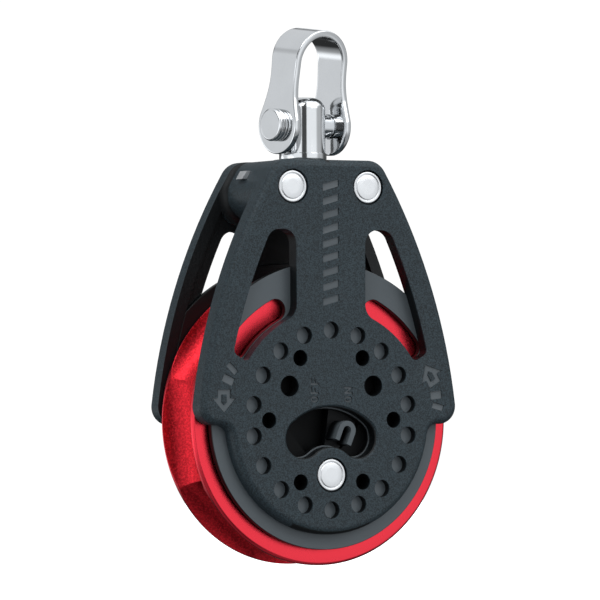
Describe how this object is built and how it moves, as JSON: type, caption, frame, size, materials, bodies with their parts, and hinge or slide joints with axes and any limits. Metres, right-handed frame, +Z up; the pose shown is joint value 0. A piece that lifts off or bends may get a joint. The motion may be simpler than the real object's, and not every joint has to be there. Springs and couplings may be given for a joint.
{
  "type": "ratchet block",
  "caption": "Single sheave sailing block with a swivelling shackle, tapered side cheeks, faceted red wheel on ball bearings and a ratchet switch.",
  "frame": {"origin": "centre of the sheave, on its axis and on the block's middle plane", "axes": "+Z up to the shackle, Y along the sheave's axis with the ratchet switch on the -Y side, +X to the right seen from that side"},
  "size_m": [0.0576, 0.0222, 0.1062],
  "materials": {
    "cheek": "moulded glass-filled nylon, fine spark texture",
    "guard": "smooth moulded nylon",
    "anodised": "red hard anodised, blasted tread",
    "hub": "black acetal",
    "ball": "acetal balls",
    "cage": "black acetal",
    "switch": "moulded nylon",
    "polished": "polished stainless steel",
    "rivet": "stainless steel",
    "hard_steel": "hardened stainless steel"
  },
  "bodies": {
    "shackle": {"shackle_strap": "polished", "shackle_pin": "polished"},
    "post": {"head_post": "polished"},
    "shell": {"front_cheek": "cheek", "rear_cheek": "cheek", "front_guard": "guard", "rear_guard": "guard", "front_hub": "hub", "rear_hub": "hub", "hub_rivet": "rivet", "head_rivets": "rivet", "hub_dowels": "hub", "thrust_washer": "ball", "swivel_lock_clip": "rivet", "left_pawl_pin": "hard_steel", "right_pawl_pin": "hard_steel", "left_pawl_spring": "hard_steel", "right_pawl_spring": "hard_steel"},
    "wheel": {"sheave": "anodised", "ratchet_ring": "hard_steel"},
    "front_bearing": {"front_balls": "ball", "front_ball_cage": "cage"},
    "rear_bearing": {"rear_balls": "ball", "rear_ball_cage": "cage"},
    "switch": {"ratchet_switch": "switch"},
    "left_pawl": {"left_pawl": "hard_steel"},
    "right_pawl": {"right_pawl": "hard_steel"}
  },
  "joints": [
    {"name": "shackle_hinge", "type": "hinge", "parent": "shackle", "child": "post", "pos_m": [0, 0, 0.0581], "axis": [0.9833, 0.1822, 0], "range_deg": [-83, 97]},
    {"name": "head_swivel", "type": "hinge", "parent": "post", "child": "shell", "pos_m": [0, 0, 0.045], "axis": [0, 0, 1], "continuous": true},
    {"name": "sheave_spin", "type": "hinge", "parent": "shell", "child": "wheel", "pos_m": [0, 0, 0], "axis": [0, 1, 0], "continuous": true},
    {"name": "front_balls_roll", "type": "hinge", "parent": "shell", "child": "front_bearing", "pos_m": [0, -0.0044, 0], "axis": [0, 1, 0], "continuous": true},
    {"name": "rear_balls_roll", "type": "hinge", "parent": "shell", "child": "rear_bearing", "pos_m": [0, 0.0044, 0], "axis": [0, 1, 0], "continuous": true},
    {"name": "switch_turn", "type": "hinge", "parent": "shell", "child": "switch", "pos_m": [0, 0, -0.01074], "axis": [0, 1, 0], "range_deg": [-45, 0]},
    {"name": "left_pawl_turn", "type": "hinge", "parent": "shell", "child": "left_pawl", "pos_m": [-0.0124, 0, -0.00451], "axis": [0, 1, 0], "range_deg": [-14, 0]},
    {"name": "right_pawl_turn", "type": "hinge", "parent": "shell", "child": "right_pawl", "pos_m": [0.01011, 0, -0.00848], "axis": [0, 1, 0], "range_deg": [-14, 0]}
  ],
  "couplings": [
    {"joint": "front_balls_roll", "follows": "sheave_spin", "ratio": 0.5556},
    {"joint": "rear_balls_roll", "follows": "sheave_spin", "ratio": 0.5556},
    {"joint": "left_pawl_turn", "follows": "switch_turn", "ratio": 0.311},
    {"joint": "right_pawl_turn", "follows": "switch_turn", "ratio": 0.311}
  ]
}
